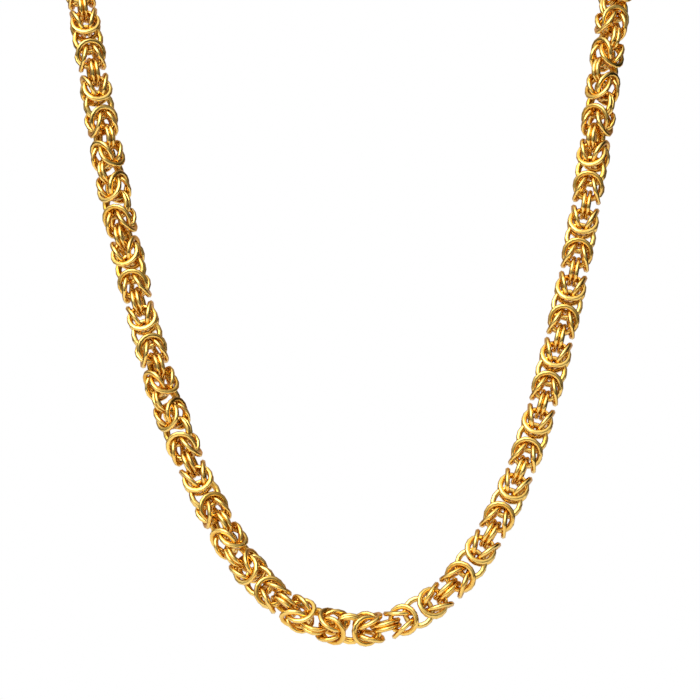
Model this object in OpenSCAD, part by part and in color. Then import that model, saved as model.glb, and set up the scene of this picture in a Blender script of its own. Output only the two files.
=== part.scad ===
// Byzantine chain necklace, shown as it hangs round a neck.
// Units are millimetres. +Z is up and -Y is the front of the wearer.
// The origin is the nape of the neck, on the chain's centreline, where the necklace hangs.

/* [Rings] */
// Thickness of the round wire that every ring is bent from
wire_d = 0.88; // [0.76:0.01:0.89]
// Inner diameter of a ring
ring_id = 4.55; // [4.5:0.05:5.2]

/* [Weave] */
// Clear space between the two rings that lie side by side in a pair
pair_gap = 0.12; // [0.1:0.01:0.13]
// Angle at which the knot rings lean outwards from the chain's line
knot_lean = 21; // [20.5:0.1:21.5]
// Distance by which a knot ring's centre passes the middle between two connector pairs
knot_shift = 0.19; // [0.18:0.01:0.2]
// Number of steps of separate rings on each side of the middle of the front
side_steps = 20; // [10:1:20]
// Gap between the separate rings and the closed weave beside them
end_gap = 0.3; // [0.2:0.05:0.6]

/* [Clasp] */
// Inner diameter of the clasp's loop
loop_id = 4.8; // [4:0.1:6]
// Thickness of the metal round the clasp's loop
loop_wire_d = 1.6; // [1.2:0.1:2]
// Clear space round the two wires that pass through the clasp's eye
eye_play = 0.25; // [0.15:0.05:0.5]
// Thickness of the metal round the clasp's eye
eye_wire_d = 0.9; // [0.7:0.1:1.2]
// Length of the clasp's body, between the middles of the eye's and the loop's metal
body_l = 6.4; // [5:0.2:9]
// Diameter of the clasp's body where it meets the loop
body_d = 3.2; // [2.6:0.1:4]
// Diameter of the clasp's body where it meets the eye
body_neck_d = 2.2; // [1.8:0.1:2.6]

/* [Clasp ring] */
// Inner diameter of the ring that the clasp hooks into
clasp_ring_id = 5; // [4:0.1:6]
// Thickness of that ring's wire
clasp_ring_wire_d = 1; // [0.8:0.05:1.2]
// Clear space between the ring's wire and what hangs in it
clasp_play = 0.25; // [0.2:0.05:0.5]

/* [Hidden] */

// Guide points of the chain's centreline, a closed smooth curve. They start at the nape and run
// round the -X side, down to the lowest point at the front, and up on the +X side.
ROUTE = [
    [0, 0, 0],
    [-21, 0, 0],
    [-42, -8, -1],
    [-55, -23, -5],
    [-60.5, -44, -15],
    [-60, -65, -29],
    [-56, -79, -45],
    [-51.5, -79.5, -72.5],
    [-47, -82.5, -95],
    [-40.5, -87.5, -120.5],
    [-34, -91, -139],
    [-26, -94.5, -155.5],
    [-18.5, -98.5, -166.5],
    [-8, -103, -175],
    [7, -104, -177],
    [20, -103.5, -170],
    [29, -102, -158.5],
    [37, -98.5, -142],
    [43, -94.5, -122],
    [49, -89.5, -96.5],
    [52.5, -87, -73],
    [56.5, -84, -46],
    [60.5, -67, -29],
    [60.5, -44, -15],
    [55, -23, -5],
    [42, -8, -1],
    [21, 0, 0]
];
// Distance along the route, from the nape, of the connector pair at the middle of the front
front_mid = 283.6;
// How far the links are turned about the chain's line, in degrees. Each row is a connector's
// number, counted from the middle of the front, and its turn. The rows between are straight lines.
TURNS = [
    [-21, 350],
    [-18, 335],
    [-16, 303],
    [-14, 281],
    [-12, 270],
    [-10, 243],
    [-7, 180],
    [-5, 146],
    [-3, 97],
    [-2, 74],
    [-1, 49],
    [0, 30],
    [1, 8],
    [2, 0],
    [15, 0],
    [19, -47],
    [21, -75]
];
// The front of the chain lies in a plane that leans back by this angle
front_lean = 11;

// Sizes that follow from the rings
ring_r = (ring_id + wire_d) / 2;
pair_pitch = wire_d + pair_gap;
// Two rings are joined in each step, which is shorter by the wires that lie across each other
wires_per_step = 4.2;
step_l = 2 * (2 * ring_r) - wires_per_step * wire_d;
ring_reach = ring_r + wire_d / 2;
knot_at = step_l / 2 + knot_shift;
knot_offset = pair_pitch / 2 + ring_r * sin(knot_lean);
front_reach = side_steps * step_l + ring_reach;

// Sizes that follow from the clasp. It and its ring, hung in each other, are centred on the nape.
loop_r = (loop_id + loop_wire_d) / 2;
eye_r = norm([wire_d, pair_pitch + wire_d]) / 2 + eye_play + eye_wire_d / 2;
clasp_ring_r = (clasp_ring_id + clasp_ring_wire_d) / 2;
hook_l = loop_wire_d / 2 + clasp_play + clasp_ring_wire_d / 2;
fastening_l = 2 * eye_r + body_l + 2 * loop_r - hook_l + 2 * clasp_ring_r;
eye_x = eye_r - fastening_l / 2;
loop_x = eye_x + eye_r + body_l + loop_r;
neck_x = eye_x + eye_r + body_neck_d / 2;
shoulder_x = loop_x - loop_r - body_d / 2;
clasp_ring_x = fastening_l / 2 - clasp_ring_r;

// How far from the nape the chain's last pairs lie: one passes through the middle of the eye,
// and the other hangs in the clasp ring
clasp_end = -eye_x + ring_r;
ring_end = fastening_l / 2 - clasp_ring_wire_d / 2 - clasp_play - wire_d / 2 + ring_r;

// Fineness of the curves
ring_fn = 48;
wire_fn = 16;
samples = 16;
tube_sides = 12;
diameters_per_row = 2;
small = 0.5;

// Shares of four neighbouring guide points in a point of the smooth curve, a uniform cubic
// B-spline. Each row is a power of the place between the middle two, from none to the third.
SHARES = [
    [1, 4, 1, 0],
    [-3, 0, 3, 0],
    [3, -6, 3, 0],
    [-1, 3, -3, 1]
] / 6;

function unit(v) = v / norm(v);

// A point of the smooth curve, t of the way from guide point i to the next
function spline_point(i, t) =
    let (n = len(ROUTE))
    [1, t, t * t, t * t * t] * SHARES * [for (j = [-1 : 2]) ROUTE[(i + j + n) % n]];

// The curve as fine steps, the length up to each, and one table of each coordinate by length
curve = [
    for (i = [0 : len(ROUTE) - 1])
        for (j = [0 : samples - 1])
            spline_point(i, j / samples),
    spline_point(0, 0)
];
last = len(curve) - 1;
along = [
    for (i = 0, s = 0; i <= last; i = i + 1, s = s + (i <= last ? norm(curve[i] - curve[i - 1]) : 0))
        s
];
route_l = along[last];
by_length = [for (axis = [0 : 2]) [for (i = [0 : last]) [along[i], curve[i][axis]]]];

// Point and direction of the chain's line at a distance from the nape
function point_at(s) = [for (axis = [0 : 2]) lookup(s, by_length[axis])];
function direction_at(s) = unit(point_at(s + small) - point_at(s - small));

// A facing that is carried along the line without turning about it. It starts square to the
// leaning front plane at the middle of the front and is carried from there to both ends.
function square_to(v, t) = unit(v - (v * t) * t);
carry_l = 1;
function carried(way) = [
    for (
        i = 0, s = front_mid, u = square_to([0, -cos(front_lean), sin(front_lean)], direction_at(front_mid));
        s > small && s < route_l - small;
        i = i + 1, s = front_mid + way * i * carry_l, u = square_to(u, direction_at(s))
    )
        [s, u]
];
carried_left = carried(-1);
carried_right = carried(1);
facing = concat(
    [for (i = [len(carried_left) - 1 : -1 : 1]) carried_left[i]],
    carried_right
);
facing_by_length = [for (axis = [0 : 2]) [for (row = facing) [row[0], row[1][axis]]]];
function facing_at(s) =
    square_to([for (axis = [0 : 2]) lookup(s, facing_by_length[axis])], direction_at(s));

// The links' own axis at a distance s: the facing turned by the table's turn. Every second
// connector, and the knot rings of every second kind, stand square to it.
function link_axis(s, is_square) =
    let (t = direction_at(s))
    let (u = facing_at(s))
    let (v = cross(t, u))
    let (turn = lookup((s - front_mid) / step_l, TURNS) + (is_square ? 90 : 0))
    cos(turn) * u + sin(turn) * v;

// One closed ring about a centre, square to an axis
module ring(centre, axis, radius, thickness) {
    z = unit(axis);
    x = unit(cross(abs(z[0]) < abs(z[1]) ? [1, 0, 0] : [0, 1, 0], z));
    y = cross(z, x);
    multmatrix([
        [x[0], y[0], z[0], centre[0]],
        [x[1], y[1], z[1], centre[1]],
        [x[2], y[2], z[2], centre[2]],
        [0, 0, 0, 1]
    ])
        rotate_extrude($fn = ring_fn)
            translate([radius, 0])
                circle(d = thickness, $fn = wire_fn);
}

// Two rings side by side on the chain's line
module ring_pair(s, axis) {
    for (side = [-1, 1])
        ring(point_at(s) + side * axis * pair_pitch / 2, axis, ring_r, wire_d);
}

// The pair that joins one knot to the next
module connector_pair(k) {
    s = front_mid + k * step_l;
    ring_pair(s, link_axis(s, abs(k) % 2 == 1));
}

// Two rings of a knot, close together at the connector that they hang in and spread at the
// other, which they hold between them. way is 1 where they spread forwards, else -1.
module spread_pair(s, is_square, way) {
    axis = link_axis(s, is_square);
    for (side = [-1, 1])
        ring(
            point_at(s) + side * axis * knot_offset,
            side * cos(knot_lean) * axis - way * sin(knot_lean) * direction_at(s),
            ring_r,
            wire_d
        );
}

// The knot between connector k and the next: two spread pairs, folded through each other
module knot(k) {
    is_odd = abs(k) % 2 == 1;
    start = front_mid + k * step_l;
    spread_pair(start + knot_at, !is_odd, 1);
    spread_pair(start + step_l - knot_at, is_odd, -1);
}

// The front of the chain, from shoulder to shoulder, as separate interlocked rings
module front_links() {
    color("gold") {
        for (k = [-side_steps : side_steps])
            connector_pair(k);
        for (k = [-side_steps : side_steps - 1])
            knot(k);
    }
}

// One stretch of the back of the chain, as a closed weave as thick as a ring is across
module back_stretch(from, to) {
    rows = ceil((to - from) / (diameters_per_row * 2 * ring_reach));
    points = [
        for (i = [0 : rows])
            let (s = from + (to - from) * i / rows)
            let (t = direction_at(s))
            let (u = facing_at(s))
            let (v = cross(t, u))
            for (j = [0 : tube_sides - 1])
                let (a = 360 * j / tube_sides)
                point_at(s) + ring_reach * (cos(a) * u + sin(a) * v)
    ];
    sides = [
        for (i = [0 : rows - 1])
            for (j = [0 : tube_sides - 1])
                let (a = i * tube_sides + j)
                let (b = i * tube_sides + (j + 1) % tube_sides)
                [a, a + tube_sides, b + tube_sides, b]
    ];
    start_cap = [[for (j = [0 : tube_sides - 1]) j]];
    end_cap = [[for (j = [tube_sides - 1 : -1 : 0]) rows * tube_sides + j]];
    polyhedron(points = points, faces = concat(sides, start_cap, end_cap), convexity = 4);
}

// The back of the chain, on both sides of the clasp. Its last pairs are separate rings: one lies
// flat and hangs in the clasp's upright eye, the other stands upright and hangs in the flat ring.
module back_chain() {
    left_pair = clasp_end;
    right_pair = route_l - ring_end;
    gap = ring_reach + end_gap;
    color("goldenrod") {
        ring_pair(left_pair, square_to([0, 0, 1], direction_at(left_pair)));
        back_stretch(left_pair + gap, front_mid - front_reach - end_gap);
        back_stretch(front_mid + front_reach + end_gap, right_pair - gap);
        ring_pair(right_pair, square_to([0, 1, 0], direction_at(right_pair)));
    }
}

// The plain clasp in one piece: an eye for the last pair, a tapered body with round ends, a loop
module clasp() {
    color("darkgoldenrod")
        union() {
            ring([eye_x, 0, 0], [0, 1, 0], eye_r, eye_wire_d);
            translate([neck_x, 0, 0])
                sphere(d = body_neck_d, $fn = ring_fn);
            translate([neck_x, 0, 0])
                rotate([0, 90, 0])
                    cylinder(h = shoulder_x - neck_x, d1 = body_neck_d, d2 = body_d, $fn = ring_fn);
            translate([shoulder_x, 0, 0])
                sphere(d = body_d, $fn = ring_fn);
            ring([loop_x, 0, 0], [0, 1, 0], loop_r, loop_wire_d);
        }
}

// The ring at the other end of the chain, hooked into the clasp's loop
module clasp_ring() {
    color("gold")
        ring([clasp_ring_x, 0, 0], [0, 0, 1], clasp_ring_r, clasp_ring_wire_d);
}

front_links();
back_chain();
clasp();
clasp_ring();
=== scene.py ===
"""Byzantine chain necklace in polished gold plating, worn form, hung at the nape.

The chain is woven of round wire rings. Connector pairs of rings alternate with knots of four
rings folded through each other. Lengths are in metres, except where a name or a comment says
otherwise, in the part's own frame: +Z up, -Y the wearer's front, the origin on the chain's
centreline at the nape.
"""

import logging
import math
from collections.abc import Callable
from dataclasses import dataclass
from enum import Enum

import bmesh
import bpy
import numpy as np
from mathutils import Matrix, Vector


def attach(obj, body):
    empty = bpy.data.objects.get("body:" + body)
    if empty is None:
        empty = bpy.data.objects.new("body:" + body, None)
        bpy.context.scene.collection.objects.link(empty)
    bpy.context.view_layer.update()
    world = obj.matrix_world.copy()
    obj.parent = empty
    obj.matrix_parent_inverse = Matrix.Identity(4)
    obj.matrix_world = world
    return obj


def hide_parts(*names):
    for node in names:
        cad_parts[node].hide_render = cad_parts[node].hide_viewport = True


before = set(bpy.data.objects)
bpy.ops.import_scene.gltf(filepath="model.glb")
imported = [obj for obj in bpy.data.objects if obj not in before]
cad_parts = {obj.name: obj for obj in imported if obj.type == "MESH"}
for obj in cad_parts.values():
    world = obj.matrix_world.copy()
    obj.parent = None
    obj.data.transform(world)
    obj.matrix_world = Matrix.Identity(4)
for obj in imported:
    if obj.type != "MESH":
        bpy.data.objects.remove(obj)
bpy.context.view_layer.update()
LOG = logging.getLogger("necklace")
MM = 0.001
BODY = "root"
# Points of a mesh that are nearer to each other than this are one point.
SAME_POINT = 1e-7

# Guide points of the chain's centreline, from the nape round the -X side to the front, and back
# round the +X side.
ROUTE = MM * np.array([
    [0, 0, 0],
    [-21, 0, 0],
    [-42, -8, -1],
    [-55, -23, -5],
    [-60.5, -44, -15],
    [-60, -65, -29],
    [-56, -79, -45],
    [-51.5, -79.5, -72.5],
    [-47, -82.5, -95],
    [-40.5, -87.5, -120.5],
    [-34, -91, -139],
    [-26, -94.5, -155.5],
    [-18.5, -98.5, -166.5],
    [-8, -103, -175],
    [7, -104, -177],
    [20, -103.5, -170],
    [29, -102, -158.5],
    [37, -98.5, -142],
    [43, -94.5, -122],
    [49, -89.5, -96.5],
    [52.5, -87, -73],
    [56.5, -84, -46],
    [60.5, -67, -29],
    [60.5, -44, -15],
    [55, -23, -5],
    [42, -8, -1],
    [21, 0, 0],
])
# Distance along the route of the connector at the middle of the front.
FRONT_MIDDLE = 283.6 * MM
# Connectors, counted from the middle of the front, and the degrees that the links are turned there.
TURNS = np.array([
    [-21, 350],
    [-18, 335],
    [-16, 303],
    [-14, 281],
    [-12, 270],
    [-10, 243],
    [-7, 180],
    [-5, 146],
    [-3, 97],
    [-2, 74],
    [-1, 49],
    [0, 30],
    [1, 8],
    [2, 0],
    [15, 0],
    [19, -47],
    [21, -75],
])


def srgb(hex_colour: str) -> tuple[float, float, float, float]:
    """Turns an sRGB hex colour to a linear one with full alpha.

    Args:
        hex_colour: Six hex digits after a hash sign.

    Returns:
        The linear red, green, blue and alpha.
    """
    values = [int(hex_colour[i:i + 2], 16) / 255 for i in (1, 3, 5)]
    linear = [v / 12.92 if v <= 0.04045 else ((v + 0.055) / 1.055) ** 2.4 for v in values]
    return (*linear, 1.0)


def unit(v: np.ndarray) -> np.ndarray:
    """Scales vectors, the last axis of an array, to a length of one."""
    return v / np.linalg.norm(v, axis=-1, keepdims=True)


def square_to(v: np.ndarray, direction: np.ndarray) -> np.ndarray:
    """Leaves of v only what is square to a unit direction, at a length of one."""
    along = np.sum(v * direction, axis=-1, keepdims=True)
    return unit(v - along * direction)


@dataclass
class Surface:
    """Points and four-sided faces of closed shells, with a map and a tone.

    The map is in millimetres along the wire or body, and in turns round it. Normals, one a
    point, may be left out: the faces' own are used then.
    """

    points: np.ndarray
    quads: np.ndarray
    uv: np.ndarray
    tone: np.ndarray
    normals: np.ndarray | None = None

    @staticmethod
    def joined(parts: list["Surface"]) -> "Surface":
        """Puts several surfaces into one.

        Args:
            parts: The surfaces.

        Returns:
            One surface with all their shells, shaded by its faces alone.
        """
        starts = np.cumsum([0] + [len(p.points) for p in parts[:-1]])
        return Surface(
            np.concatenate([p.points for p in parts]),
            np.concatenate([p.quads + s for p, s in zip(parts, starts)]),
            np.concatenate([p.uv for p in parts]),
            np.concatenate([p.tone for p in parts]),
        )

    def piece(self, name: str, node: str, finish: bpy.types.Material) -> bpy.types.Object:
        """Makes a smooth-shaded mesh object of the surface, in the place of a CAD node.

        Args:
            name: The piece's name.
            node: The CAD node that it stands for.
            finish: Its material.

        Returns:
            The object, at the origin with its place in its mesh.
        """
        mesh = bpy.data.meshes.new(name)
        mesh.vertices.add(len(self.points))
        mesh.vertices.foreach_set("co", self.points.astype(np.float32).ravel())
        mesh.loops.add(self.quads.size)
        mesh.loops.foreach_set("vertex_index", self.quads.astype(np.int32).ravel())
        mesh.polygons.add(len(self.quads))
        mesh.polygons.foreach_set("loop_start", np.arange(0, self.quads.size, 4, dtype=np.int32))
        mesh.update(calc_edges=True)
        layer = mesh.uv_layers.new(name="wire_map")
        layer.data.foreach_set("uv", self.uv.astype(np.float32).ravel())
        tone = mesh.attributes.new("ring_tone", "FLOAT", "POINT")
        tone.data.foreach_set("value", self.tone.astype(np.float32))
        mesh.validate()
        shell = bmesh.new()
        shell.from_mesh(mesh)
        bmesh.ops.remove_doubles(shell, verts=shell.verts, dist=SAME_POINT)
        bmesh.ops.recalc_face_normals(shell, faces=shell.faces)
        shell.to_mesh(mesh)
        shell.free()
        mesh.shade_smooth()
        if self.normals is not None:
            mesh.normals_split_custom_set_from_vertices(self.normals)
        mesh.materials.append(finish)
        made = bpy.data.objects.new(name, mesh)
        bpy.context.scene.collection.objects.link(made)
        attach(made, BODY)
        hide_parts(node)
        return made


@dataclass(frozen=True)
class Rings:
    """Where rings are: their centres and unit axes, one a row."""

    centres: np.ndarray
    axes: np.ndarray

    @staticmethod
    def joined(sets: list["Rings"]) -> "Rings":
        """Puts several sets of rings into one."""
        return Rings(*(np.concatenate([getattr(s, n) for s in sets]) for n in ("centres", "axes")))


@dataclass(frozen=True)
class Wire:
    """Round wire as a tube with a few flat sides, closed to rings.

    A flatness above 1 shades the wire as if its two sides along the ring's axis were pressed.
    Each side then mirrors one part of the room, so bright and brown rings follow each other.
    """

    ring_sides: int
    wire_sides: int
    flatness: float = 1.0

    def bent(
        self, rings: Rings, starts: np.ndarray, radius: float, thickness: float, tones: np.ndarray
    ) -> Surface:
        """Bends wire to many closed rings at once.

        A point of a ring is its centre, plus the ring's radius and the wire's reach outwards
        along the direction at angle u round the ring, plus the wire's reach along the axis at
        angle v round the wire. The wire's polygon has the area of the round wire. The normal is
        that direction times the cosine of v plus the axis times its sine and the flatness.

        Args:
            rings: Where the rings are.
            starts: Directions, square to the axes, at which the rings begin.
            radius: Radius of the wire's centreline.
            thickness: Diameter of the round wire.
            tones: A value from 0 to 1 for each ring.

        Returns:
            The rings as one surface.
        """
        n, a, b = len(rings.centres), self.ring_sides, self.wire_sides
        share = 2 * math.pi / b
        reach = thickness / 2 * math.sqrt(share / math.sin(share))
        u = np.arange(a) * (2 * math.pi / a)
        v = np.arange(b) * share
        across = np.cross(rings.axes, starts)
        out = np.cos(u)[:, None] * starts[:, None] + np.sin(u)[:, None] * across[:, None]
        tube = radius + reach * np.cos(v)
        points = (
            rings.centres[:, None, None]
            + out[:, :, None] * tube[None, None, :, None]
            + rings.axes[:, None, None] * (reach * np.sin(v))[None, None, :, None]
        )
        i, j = np.meshgrid(np.arange(a), np.arange(b), indexing="ij")
        i2, j2 = (i + 1) % a, (j + 1) % b
        one = np.stack([i * b + j, i2 * b + j, i2 * b + j2, i * b + j2], axis=-1).reshape(-1, 4)
        quads = (one[None] + (np.arange(n) * a * b)[:, None, None]).reshape(-1, 4)
        step_u = 2 * math.pi * radius / MM / a
        corner_u = np.stack([i, i + 1, i + 1, i], axis=-1).reshape(-1, 4) * step_u
        corner_v = np.stack([j, j, j + 1, j + 1], axis=-1).reshape(-1, 4) / b
        uv = np.stack([corner_u, corner_v], axis=-1)
        uv = np.broadcast_to(uv, (n, *uv.shape)).reshape(-1, 2)
        normals = unit(
            out[:, :, None] * np.cos(v)[None, None, :, None]
            + rings.axes[:, None, None] * (self.flatness * np.sin(v))[None, None, :, None]
        )
        return Surface(
            points.reshape(-1, 3), quads, uv, np.repeat(tones, a * b), normals.reshape(-1, 3)
        )


@dataclass
class Route:
    """The chain's centreline, a closed uniform cubic B-spline of listed guide points."""

    guide: np.ndarray
    middle: float
    front_lean: float = math.radians(11)
    samples: int = 16

    def __post_init__(self) -> None:
        """Works out the curve's points, lengths, directions and carried facings."""
        p = self.guide
        before, after, later = np.roll(p, 1, 0), np.roll(p, -1, 0), np.roll(p, -2, 0)
        t = (np.arange(self.samples) / self.samples)[None, :, None]
        curve = (
            (1 - t) ** 3 * before[:, None]
            + (3 * t ** 3 - 6 * t * t + 4) * p[:, None]
            + (-3 * t ** 3 + 3 * t * t + 3 * t + 1) * after[:, None]
            + t ** 3 * later[:, None]
        ) / 6
        self.points = np.concatenate([curve.reshape(-1, 3), curve[:1, 0]])
        steps = np.linalg.norm(np.diff(self.points, axis=0), axis=1)
        self.along = np.concatenate([[0.0], np.cumsum(steps)])
        self.length = float(self.along[-1])
        self.carry()

    def place(self, s: np.ndarray) -> np.ndarray:
        """Points of the line at distances s from the nape."""
        return np.stack([np.interp(s, self.along, self.points[:, i]) for i in range(3)], axis=-1)

    def direction(self, s: np.ndarray) -> np.ndarray:
        """Unit directions of the line at distances s from the nape."""
        small = 0.5 * MM
        return unit(self.place(s + small) - self.place(s - small))

    def carry(self) -> None:
        """Carries a facing along the line without turning it about the line.

        It starts square to the leaning front plane at the middle of the front. Each step takes
        the last facing and leaves what is square to the new direction.
        """
        step = 1.0 * MM
        start = np.array([0.0, -math.cos(self.front_lean), math.sin(self.front_lean)])
        rows = {}
        for way in (-1, 1):
            room = self.middle if way < 0 else self.length - self.middle
            stations = self.middle + way * step * np.arange(int(room / step))
            facing = start
            for s, direction in zip(stations, self.direction(stations)):
                facing = square_to(facing, direction)
                rows[float(s)] = facing
        self.stations = np.array(sorted(rows))
        self.facings = np.array([rows[s] for s in self.stations])

    def facing(self, s: np.ndarray) -> np.ndarray:
        """Carried facings at distances s, square to the line."""
        found = [np.interp(s, self.stations, self.facings[:, i]) for i in range(3)]
        return square_to(np.stack(found, axis=-1), self.direction(s))


@dataclass(frozen=True)
class Stretch:
    """Connectors at even distances along the route, and how far the links turn between them."""

    places: np.ndarray
    is_odd: np.ndarray
    turn: Callable[[np.ndarray], np.ndarray]


@dataclass
class Weave:
    """The byzantine weave: what turns a stretch of the route into rings.

    Its sizes are the wire, the ring's inside, the gap within a pair, how far a knot's rings lean
    over and lie past its middle, and by how many wires a step is shorter than twice the
    diameter of a ring's centreline.
    """

    route: Route
    wire_d: float = 0.88 * MM
    ring_id: float = 4.55 * MM
    pair_gap: float = 0.12 * MM
    knot_lean: float = math.radians(21)
    knot_shift: float = 0.19 * MM
    wires_per_step: float = 4.2

    def __post_init__(self) -> None:
        """Works out the sizes that follow from the wire and the ring."""
        self.ring_r = (self.ring_id + self.wire_d) / 2
        self.step = 4 * self.ring_r - self.wires_per_step * self.wire_d
        self.pair_pitch = self.wire_d + self.pair_gap
        self.knot_offset = self.pair_pitch / 2 + self.ring_r * math.sin(self.knot_lean)

    def axis(self, stretch: Stretch, s: np.ndarray, is_square: np.ndarray) -> np.ndarray:
        """Link axes: the facing turned about the line by the stretch's turn.

        Args:
            stretch: The stretch that the places are on.
            s: Distances from the nape.
            is_square: Whether a quarter turn is added.

        Returns:
            Unit axes, one a row.
        """
        along, facing = self.route.direction(s), self.route.facing(s)
        angle = np.radians(stretch.turn(s) + np.where(is_square, 90.0, 0.0))[:, None]
        return np.cos(angle) * facing + np.sin(angle) * np.cross(along, facing)

    def two_at(self, s: np.ndarray, axis: np.ndarray, apart: float, lean: np.ndarray) -> Rings:
        """Two rings at each place, apart along an axis and leaning away from each other.

        Args:
            s: Distances from the nape.
            axis: Link axes there.
            apart: How far each ring's centre is from the line.
            lean: What is added to each ring's own axis, 0 where the rings are parallel.

        Returns:
            The rings.
        """
        side = np.array([-1.0, 1.0])[None, :, None]
        centres = self.route.place(s)[:, None] + side * axis[:, None] * apart
        axes = side * axis[:, None] + lean[:, None]
        return Rings(centres.reshape(-1, 3), unit(axes.reshape(-1, 3)))

    def connectors(self, stretch: Stretch, which: slice) -> Rings:
        """Pairs of rings side by side at some of the stretch's places.

        Args:
            stretch: The stretch.
            which: The places that get a connector.

        Returns:
            The connectors' rings.
        """
        s = stretch.places[which]
        axis = self.axis(stretch, s, stretch.is_odd[which])
        return self.two_at(s, axis, self.pair_pitch / 2, np.zeros_like(axis))

    def knots(self, stretch: Stretch) -> list[Rings]:
        """Rings of the knots between the stretch's connectors.

        In each knot two rings are spread at the first connector and two at the second, and each
        two lean to the other connector, where they lie side by side.

        Args:
            stretch: The stretch.

        Returns:
            The rings that spread forwards, and those that spread backwards.
        """
        start, step, is_odd = stretch.places[:-1], np.diff(stretch.places), stretch.is_odd[:-1]
        reach = step / 2 + self.knot_shift
        rings = []
        for s, is_square, way in ((start + reach, ~is_odd, 1), (start + step - reach, is_odd, -1)):
            lean = -way * math.tan(self.knot_lean) * self.route.direction(s)
            rings.append(self.two_at(s, self.axis(stretch, s, is_square), self.knot_offset, lean))
        return rings


class Side(Enum):
    """The two ways that the chain runs back from the middle of its front."""

    LEFT = -1
    RIGHT = 1


@dataclass
class Chain:
    """The whole chain as two pieces: the front, and the back with the last pairs.

    The wire is drawn a little thicker than the clearances of the loose rings allow, so that the
    rings of the weave rest on each other. Each ring wobbles a little from its place in the weave.
    """

    weave: Weave
    turns: np.ndarray
    clasp_end: float
    ring_end: float
    side_steps: int = 20
    wire: Wire = Wire(16, 6, 1.7)
    worn_wire_d: float = 1.0 * MM
    wobble: float = math.radians(0.8)
    seed: int = 7

    def front_turn(self, s: np.ndarray) -> np.ndarray:
        """Turns in degrees from the table, straight lines between its rows."""
        number = (s - self.weave.route.middle) / self.weave.step
        return np.interp(number, self.turns[:, 0], self.turns[:, 1])

    def front(self) -> Rings:
        """Rings of the front: connectors from shoulder to shoulder and the knots between."""
        number = np.arange(-self.side_steps, self.side_steps + 1)
        places = self.weave.route.middle + number * self.weave.step
        stretch = Stretch(places, number % 2 == 1, self.front_turn)
        return Rings.joined([
            self.weave.connectors(stretch, slice(None)), *self.weave.knots(stretch)
        ])

    def back(self, side: Side) -> Rings:
        """Rings from one shoulder to the last pair beside the clasp.

        The turn goes in a straight line from the shoulder's to the one at which the last pair
        lies as the clasp needs it: flat on the left, upright on the right.

        Args:
            side: Which half of the back.

        Returns:
            The rings.
        """
        route, way = self.weave.route, side.value
        shoulder = route.middle + way * self.side_steps * self.weave.step
        end = self.clasp_end if side is Side.LEFT else route.length - self.ring_end
        steps = round(abs(end - shoulder) / self.weave.step)
        number = np.arange(steps + 1) + self.side_steps
        first = float(self.front_turn(np.array([shoulder]))[0])
        wanted = np.array([0.0, 0.0, 1.0] if side is Side.LEFT else [0.0, 1.0, 0.0])
        last = self.last_turn(end, wanted, first, bool(number[-1] % 2))
        ends, turns = np.array([shoulder, end])[::way], np.array([first, last])[::way]
        stretch = Stretch(
            np.linspace(shoulder, end, steps + 1)[::way],
            (number % 2 == 1)[::way],
            lambda s: np.interp(s, ends, turns),
        )
        beyond_shoulder = slice(None, -1) if side is Side.LEFT else slice(1, None)
        return Rings.joined([
            self.weave.connectors(stretch, beyond_shoulder), *self.weave.knots(stretch)
        ])

    def last_turn(self, s: float, wanted: np.ndarray, near: float, is_square: bool) -> float:
        """The turn, nearest a given one, that brings a connector's axis along a direction.

        Args:
            s: The last pair's distance from the nape.
            wanted: The direction that the pair's axis takes.
            near: The turn that it should be nearest to, in degrees.
            is_square: Whether the pair is one of those with a quarter turn added.

        Returns:
            The turn in degrees.
        """
        along = self.weave.route.direction(np.array([s]))[0]
        facing = self.weave.route.facing(np.array([s]))[0]
        axis = square_to(wanted, along)
        turn = math.degrees(math.atan2(axis @ np.cross(along, facing), axis @ facing))
        turn -= 90 if is_square else 0
        return turn + 180 * round((near - turn) / 180)

    def surface(self, rings: Rings, seed: int) -> Surface:
        """Makes rings of wire, each begun and tilted a little its own way.

        Args:
            rings: Where they are.
            seed: Start of the random draws.

        Returns:
            The rings as one surface.
        """
        random = np.random.default_rng(seed)
        n = len(rings.centres)
        axes = unit(rings.axes + random.normal(0, self.wobble / 2, (n, 3)))
        starts = square_to(random.normal(0, 1, (n, 3)), axes)
        tilted = Rings(rings.centres, axes)
        tones = random.uniform(0, 1, n)
        return self.wire.bent(tilted, starts, self.weave.ring_r, self.worn_wire_d, tones)

    def build(self, finish: bpy.types.Material) -> list[bpy.types.Object]:
        """Builds and dresses both pieces.

        Args:
            finish: The metal's material.

        Returns:
            The front piece and the back piece.
        """
        back = Rings.joined([self.back(Side.LEFT), self.back(Side.RIGHT)])
        return [
            self.surface(self.front(), self.seed).piece("front_rings", "front_links", finish),
            self.surface(back, self.seed + 1).piece("back_rings", "back_chain", finish),
        ]


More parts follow.
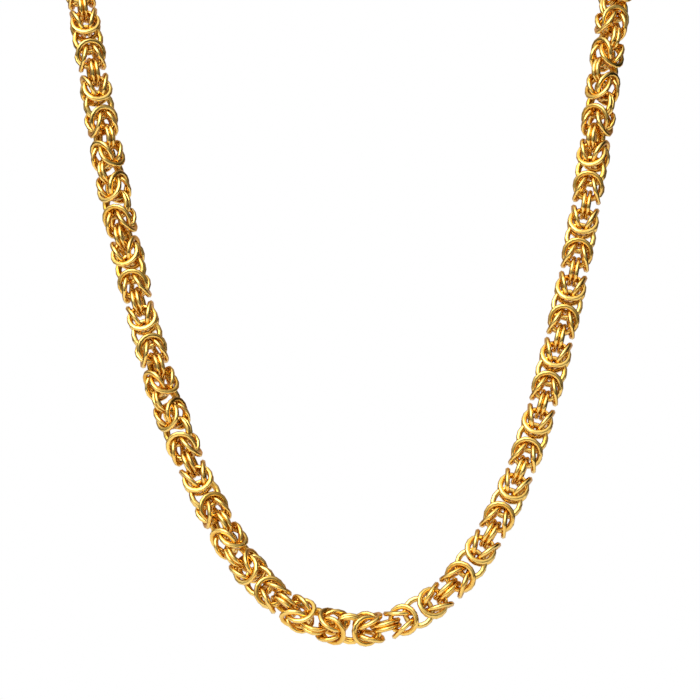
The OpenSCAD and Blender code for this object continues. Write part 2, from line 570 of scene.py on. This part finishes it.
@dataclass
class Fastening:
    """The plain clasp and the ring that it hooks into, centred on the nape."""

    weave: Weave
    loop_id: float = 4.8 * MM
    loop_wire_d: float = 1.6 * MM
    eye_play: float = 0.25 * MM
    eye_wire_d: float = 0.9 * MM
    body_l: float = 6.4 * MM
    body_d: float = 3.2 * MM
    body_neck_d: float = 2.2 * MM
    ring_id: float = 5.0 * MM
    ring_wire_d: float = 1.0 * MM
    play: float = 0.25 * MM
    wire: Wire = Wire(48, 16)
    body_rows: int = 40
    tone: float = 0.5

    def __post_init__(self) -> None:
        """Works out where each part of the fastening lies along X."""
        wire_d, pitch = self.weave.wire_d, self.weave.pair_pitch
        self.loop_r = (self.loop_id + self.loop_wire_d) / 2
        self.eye_r = math.hypot(wire_d, pitch + wire_d) / 2 + self.eye_play + self.eye_wire_d / 2
        self.ring_r = (self.ring_id + self.ring_wire_d) / 2
        hook = self.loop_wire_d / 2 + self.play + self.ring_wire_d / 2
        length = 2 * self.eye_r + self.body_l + 2 * self.loop_r - hook + 2 * self.ring_r
        self.eye_x = self.eye_r - length / 2
        self.loop_x = self.eye_x + self.eye_r + self.body_l + self.loop_r
        self.neck_x = self.eye_x + self.eye_r + self.body_neck_d / 2
        self.shoulder_x = self.loop_x - self.loop_r - self.body_d / 2
        self.ring_x = length / 2 - self.ring_r
        hung = self.ring_wire_d / 2 + self.play + wire_d / 2
        self.clasp_end = -self.eye_x + self.weave.ring_r
        self.ring_end = length / 2 - hung + self.weave.ring_r

    def hoop(
        self, x: float, axis: tuple[float, float, float], radius: float, wire: float
    ) -> Surface:
        """One closed hoop of round metal centred on the X axis.

        Args:
            x: Its centre.
            axis: Its unit axis.
            radius: Radius of its centreline.
            wire: Diameter of its metal.

        Returns:
            The hoop's surface.
        """
        place = Rings(np.array([[x, 0.0, 0.0]]), np.array([axis]))
        start = np.array([[1.0, 0.0, 0.0]])
        return self.wire.bent(place, start, radius, wire, np.array([self.tone]))

    def body(self) -> Surface:
        """The body: a surface of revolution round X, a cone between two balls.

        Its radius at x is that of the small ball up to the neck, that of the large ball past
        the shoulder, and a straight line between the points where the cone touches both.

        Returns:
            The body's surface, closed at its poles.
        """
        small, large = self.body_neck_d / 2, self.body_d / 2
        slope = math.asin((large - small) / (self.shoulder_x - self.neck_x))
        first = np.linspace(math.pi, math.pi / 2 + slope, self.body_rows)
        second = np.linspace(math.pi / 2 + slope, 0, self.body_rows)
        x = np.concatenate([
            self.neck_x + small * np.cos(first), self.shoulder_x + large * np.cos(second)
        ])
        r = np.concatenate([small * np.sin(first), large * np.sin(second)])
        rows, sides = len(x), self.wire.ring_sides
        a = np.arange(sides) * (2 * math.pi / sides)
        points = np.stack(
            [np.repeat(x[:, None], sides, 1), r[:, None] * np.cos(a), r[:, None] * np.sin(a)],
            axis=-1,
        )
        i, j = np.meshgrid(np.arange(rows - 1), np.arange(sides), indexing="ij")
        i2, j2 = i + 1, (j + 1) % sides
        quads = np.stack([i * sides + j, i2 * sides + j, i2 * sides + j2, i * sides + j2], -1)
        length = np.concatenate([[0.0], np.cumsum(np.hypot(np.diff(x), np.diff(r)))]) / MM
        corner_u = np.stack([length[i], length[i2], length[i2], length[i]], -1)
        corner_v = np.stack([j, j, j + 1, j + 1], -1) / sides
        uv = np.stack([corner_u, corner_v], -1).reshape(-1, 2)
        tones = np.full(rows * sides, self.tone)
        return Surface(points.reshape(-1, 3), quads.reshape(-1, 4), uv, tones)

    def build(self, finish: bpy.types.Material) -> list[bpy.types.Object]:
        """Builds and dresses the clasp and its ring.

        Args:
            finish: The metal's material.

        Returns:
            The two pieces.
        """
        upright, flat = (0.0, 1.0, 0.0), (0.0, 0.0, 1.0)
        eye = self.hoop(self.eye_x, upright, self.eye_r, self.eye_wire_d)
        loop = self.hoop(self.loop_x, upright, self.loop_r, self.loop_wire_d)
        clasp = Surface.joined([eye, self.body(), loop])
        ring = self.hoop(self.ring_x, flat, self.ring_r, self.ring_wire_d)
        return [
            clasp.piece("clasp_body", "clasp", finish),
            ring.piece("hooked_ring", "clasp_ring", finish),
        ]


def add_node(
    tree: bpy.types.NodeTree,
    kind: str,
    settings: dict[str | int, object],
    links: dict[str | int, bpy.types.NodeSocket],
) -> bpy.types.Node:
    """Adds a node with its settings and links.

    Args:
        tree: The node tree.
        kind: The node's type name.
        settings: Values of its properties and, under an input's name or number, of its inputs.
        links: For an input's name or number, the output that feeds it.

    Returns:
        The node.
    """
    node = tree.nodes.new(kind)
    for name, value in settings.items():
        if isinstance(name, str) and hasattr(node, name):
            setattr(node, name, value)
        else:
            node.inputs[name].default_value = value
    for name, output in links.items():
        tree.links.new(output, node.inputs[name])
    return node


@dataclass(frozen=True)
class PolishedGoldPlate:
    """Yellow gold plated on drawn brass wire, tumbled to a polish.

    The plate gives near-mirror reflections in a warm yellow. Tumbling reaches the outside of a
    ring, and leaves its inside duller. Its inside is also painted darker and deeper in colour:
    partly the tumbling's wear, partly painted shade where the linked rings lie in each other.
    Fine lines are left along the wire from its drawing, and each ring has a fine closed seam.
    """

    light: str = "#F6D074"
    deep: str = "#DA9C28"
    roughness_low: float = 0.12
    roughness_high: float = 0.26
    # The polish at which the metal is at its deepest and dullest, and at its lightest.
    polish_low: float = 0.25
    polish_high: float = 0.85
    # What the wire's outside (tumbling wear, and painted shade on the ring's inside) and the ring's
    # own tone add to the polish, and the seam takes.
    wear_and_painted_shade_share: float = 0.25
    tone_share: float = 0.3
    seam_share: float = 0.45
    cloud_mm: float = 2.0
    # Real seams and drawing lines are finer: these are drawn as coarse as they need to show.
    seam_mm: float = 0.14
    line_mm: float = 0.2
    line_depth_mm: float = 0.006
    line_strength: float = 0.3
    # A drawing line's width as a share of its length, and the wire that the lines go round.
    line_width_share: float = 0.15
    wire_mm: float = 1.0

    def polish(
        self, tree: bpy.types.NodeTree, wire_map: bpy.types.NodeSocket
    ) -> bpy.types.NodeSocket:
        """Adds the nodes that work out how well a place is polished.

        The polish is a slow cloud, plus a share of the cosine of the angle round the wire, plus
        a share of the ring's tone, less what the seam takes. The cosine's share makes each ring's
        inside darker and deeper in colour: partly tumbling wear, partly painted shade where the
        rings lie in each other.

        Args:
            tree: The material's node tree.
            wire_map: The map, in millimetres along the wire and in turns round it.

        Returns:
            The socket that gives the polish.
        """
        place = add_node(tree, "ShaderNodeTexCoord", {}, {})
        tone = add_node(tree, "ShaderNodeAttribute", {"attribute_name": "ring_tone"}, {})
        parts = add_node(tree, "ShaderNodeSeparateXYZ", {}, {"Vector": wire_map})
        cloud = add_node(
            tree, "ShaderNodeTexNoise",
            {"Scale": 1 / (self.cloud_mm * MM), "Detail": 3.0, "Roughness": 0.6},
            {"Vector": place.outputs["Object"]},
        )
        # The wire's round goes from its outside, at 0 and 1, to its inside at a half.
        angle = add_node(
            tree, "ShaderNodeMath", {"operation": "MULTIPLY", 1: 2 * math.pi},
            {0: parts.outputs["Y"]},
        )
        outside = add_node(tree, "ShaderNodeMath", {"operation": "COSINE"}, {0: angle.outputs[0]})
        # Each ring's inside is painted darker here: partly tumbling wear, partly painted shade
        # between the linked rings.
        rubbed_and_painted_shade = add_node(
            tree, "ShaderNodeMath", {"operation": "MULTIPLY_ADD", 1: self.wear_and_painted_shade_share},
            {0: outside.outputs[0], 2: cloud.outputs["Fac"]},
        )
        spread = add_node(
            tree, "ShaderNodeMath", {"operation": "MULTIPLY_ADD", 1: self.tone_share},
            {0: tone.outputs["Fac"], 2: rubbed_and_painted_shade.outputs[0]},
        )
        seam = add_node(
            tree, "ShaderNodeMapRange",
            {"From Min": 0.0, "From Max": self.seam_mm, "To Min": self.seam_share, "To Max": 0.0},
            {"Value": parts.outputs["X"]},
        )
        left = add_node(
            tree, "ShaderNodeMath", {"operation": "SUBTRACT"},
            {0: spread.outputs[0], 1: seam.outputs["Result"]},
        )
        return left.outputs["Value"]

    def lines(
        self, tree: bpy.types.NodeTree, wire_map: bpy.types.NodeSocket
    ) -> bpy.types.NodeSocket:
        """Adds the nodes of the fine lines that drawing leaves along the wire.

        Args:
            tree: The material's node tree.
            wire_map: The map, in millimetres along the wire and in turns round it.

        Returns:
            The socket that gives the surface's normal.
        """
        along, around = self.line_width_share / self.line_mm, math.pi * self.wire_mm / self.line_mm
        stretched = add_node(
            tree, "ShaderNodeMapping", {"Scale": (along, around, 1.0)}, {"Vector": wire_map}
        )
        noise = add_node(
            tree, "ShaderNodeTexNoise", {"Scale": 1.0, "Detail": 2.0},
            {"Vector": stretched.outputs["Vector"]},
        )
        bump = add_node(
            tree, "ShaderNodeBump",
            {"Strength": self.line_strength, "Distance": self.line_depth_mm * MM},
            {"Height": noise.outputs["Fac"]},
        )
        return bump.outputs["Normal"]

    def material(self) -> bpy.types.Material:
        """Builds the finish.

        Returns:
            The material, named for the finish.
        """
        made = bpy.data.materials.new("polished_gold_plate_on_brass")
        made.use_nodes = True
        tree = made.node_tree
        shader = tree.nodes["Principled BSDF"]
        shader.inputs["Metallic"].default_value = 1.0
        wire_map = add_node(tree, "ShaderNodeUVMap", {"uv_map": "wire_map"}, {}).outputs["UV"]
        polish = self.polish(tree, wire_map)
        ramp = add_node(tree, "ShaderNodeValToRGB", {}, {"Fac": polish})
        stops = ((self.polish_low, self.deep), (self.polish_high, self.light))
        for stop, (place, colour) in zip(ramp.color_ramp.elements, stops):
            stop.position = place
            stop.color = srgb(colour)
        dull = add_node(
            tree, "ShaderNodeMapRange",
            {
                "From Min": self.polish_low, "From Max": self.polish_high,
                "To Min": self.roughness_high, "To Max": self.roughness_low,
            },
            {"Value": polish},
        )
        tree.links.new(ramp.outputs["Color"], shader.inputs["Base Color"])
        tree.links.new(dull.outputs["Result"], shader.inputs["Roughness"])
        tree.links.new(self.lines(tree, wire_map), shader.inputs["Normal"])
        return made


@dataclass(frozen=True)
class MattWhitePaint:
    """Matt emulsion paint, rolled on the floor.

    It scatters the light evenly, so the floor is a pale, even ground that mirrors nothing.
    """

    colour: str = "#F4F2F0"
    roughness: float = 0.9

    def material(self) -> bpy.types.Material:
        """Builds the paint.

        Returns:
            The material, named for the paint.
        """
        made = bpy.data.materials.new("matt_white_floor_paint")
        made.use_nodes = True
        shader = made.node_tree.nodes["Principled BSDF"]
        shader.inputs["Base Color"].default_value = srgb(self.colour)
        shader.inputs["Roughness"].default_value = self.roughness
        return made


@dataclass(frozen=True)
class Softbox:
    """One square studio light aimed at the chain."""

    name: str
    place_m: tuple[float, float, float]
    side_m: float
    brightness: float

    def power(self) -> float:
        """Watts at which its face has its brightness, with a white wall in full light at 1."""
        return math.pi * self.side_m ** 2 * self.brightness


@dataclass(frozen=True)
class Glow:
    """One side of the room as the metal mirrors it, the warm wall behind or the daylight.

    Each stop is how far a direction points to that side, from -1 to 1, and the brightness there.
    """

    side: tuple[float, float, float]
    tint: str
    stops: tuple[tuple[float, float], ...]

    def colour(self, tree: bpy.types.NodeTree, look: bpy.types.NodeSocket) -> bpy.types.NodeSocket:
        """Adds the nodes that work out its colour for a direction.

        Args:
            tree: The world's node tree.
            look: The direction that is looked in.

        Returns:
            The socket that gives the colour.
        """
        towards = add_node(
            tree, "ShaderNodeVectorMath",
            {"operation": "DOT_PRODUCT", 1: tuple(Vector(self.side).normalized())}, {0: look},
        )
        share = add_node(
            tree, "ShaderNodeMapRange", {"From Min": -1.0, "From Max": 1.0},
            {"Value": towards.outputs["Value"]},
        )
        ramp = add_node(tree, "ShaderNodeValToRGB", {}, {"Fac": share.outputs["Result"]})
        made = ramp.color_ramp.elements
        while len(made) < len(self.stops):
            made.new(0.5)
        for stop, (place, bright) in zip(made, self.stops):
            stop.position = (place + 1) / 2
            stop.color = (*(bright * part for part in srgb(self.tint)[:3]), 1.0)
        return ramp.outputs["Color"]


@dataclass
class Studio:
    """Plain pale floor, plain soft light, and the camera at the photo's angle.

    The camera's focal length is held in the image's pixels. The camera is level, at about half
    the height of the chain's front, and the lights are aimed between its arms at nearly that
    height.
    """

    image_px: float = 700.0
    sensor_mm: float = 36.0
    focal_px: float = 2150.0
    camera_m: tuple[float, float, float] = (0.001, -0.534, -0.120)
    nearest_m: float = 0.01
    aim_m: tuple[float, float, float] = (0.0, -0.09, -0.11)
    floor_z: float = -0.30
    floor_side: float = 1.0
    paint: MattWhitePaint = MattWhitePaint()
    lights: tuple[Softbox, ...] = (
        Softbox("key_softbox", (-0.30, -0.60, 0.35), 0.6, 4.0),
        Softbox("fill_softbox", (0.60, -0.50, -0.05), 0.4, 0.35),
    )
    glows: tuple[Glow, ...] = (
        Glow((0.0, 1.0, 0.0), "#FFD9BC", ((-1.0, 0.0), (0.2, 0.0), (0.5, 0.12), (0.9, 0.6))),
        Glow((-0.4, -0.5, 0.75), "#FFFFFF", ((-1.0, 0.01), (0.1, 0.03), (0.5, 0.4), (0.9, 1.4))),
    )

    def camera(self) -> None:
        """Places the camera level, straight towards +Y, and makes it the scene's own."""
        data = bpy.data.cameras.new("photo_camera")
        data.sensor_width = self.sensor_mm
        data.lens = self.focal_px / self.image_px * self.sensor_mm
        data.clip_start = self.nearest_m
        made = bpy.data.objects.new("photo_camera", data)
        made.location = self.camera_m
        made.rotation_euler = (math.pi / 2, 0.0, 0.0)
        bpy.context.scene.collection.objects.link(made)
        bpy.context.scene.camera = made

    def floor(self) -> None:
        """Lays a plain white floor below the necklace."""
        half = self.floor_side / 2
        corners = [(-half, -half), (half, -half), (half, half), (-half, half)]
        mesh = bpy.data.meshes.new("floor")
        mesh.from_pydata([(x, y, self.floor_z) for x, y in corners], [], [(0, 1, 2, 3)])
        mesh.materials.append(self.paint.material())
        made = bpy.data.objects.new("floor", mesh)
        bpy.context.scene.collection.objects.link(made)

    def light(self) -> None:
        """Hangs the softboxes, each turned to the chain."""
        for box in self.lights:
            data = bpy.data.lights.new(box.name, "AREA")
            data.size = box.side_m
            data.energy = box.power()
            made = bpy.data.objects.new(box.name, data)
            made.location = box.place_m
            aim = Vector(self.aim_m) - Vector(box.place_m)
            made.rotation_euler = aim.to_track_quat("-Z", "Y").to_euler()
            made.visible_camera = False
            bpy.context.scene.collection.objects.link(made)

    def surroundings(self) -> None:
        """A white room: seen as plain white, while the metal mirrors the sum of its glows."""
        world = bpy.data.worlds.new("white_room")
        world.use_nodes = True
        bpy.context.scene.world = world
        tree = world.node_tree
        ground = tree.nodes["Background"]
        look = add_node(tree, "ShaderNodeTexCoord", {}, {})
        wall, daylight = (glow.colour(tree, look.outputs["Generated"]) for glow in self.glows)
        lit = add_node(tree, "ShaderNodeVectorMath", {"operation": "ADD"}, {0: wall, 1: daylight})
        seen = add_node(tree, "ShaderNodeLightPath", {}, {})
        shown = add_node(
            tree, "ShaderNodeVectorMath", {"operation": "MAXIMUM"},
            {0: lit.outputs["Vector"], 1: seen.outputs["Is Camera Ray"]},
        )
        tree.links.new(shown.outputs["Vector"], ground.inputs["Color"])

    def build(self) -> None:
        """Sets the whole studio up, with plain colours as they are."""
        self.camera()
        self.floor()
        self.light()
        self.surroundings()
        bpy.context.scene.view_settings.view_transform = "Standard"


def main() -> None:
    """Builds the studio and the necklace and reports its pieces."""
    logging.basicConfig(level=logging.INFO, format="%(name)s: %(message)s")
    Studio().build()
    weave = Weave(Route(ROUTE, FRONT_MIDDLE))
    fastening = Fastening(weave)
    chain = Chain(weave, TURNS, fastening.clasp_end, fastening.ring_end)
    gold = PolishedGoldPlate().material()
    for made in chain.build(gold) + fastening.build(gold):
        LOG.info("%s: %d faces", made.name, len(made.data.polygons))


if __name__ == "__main__":
    main()
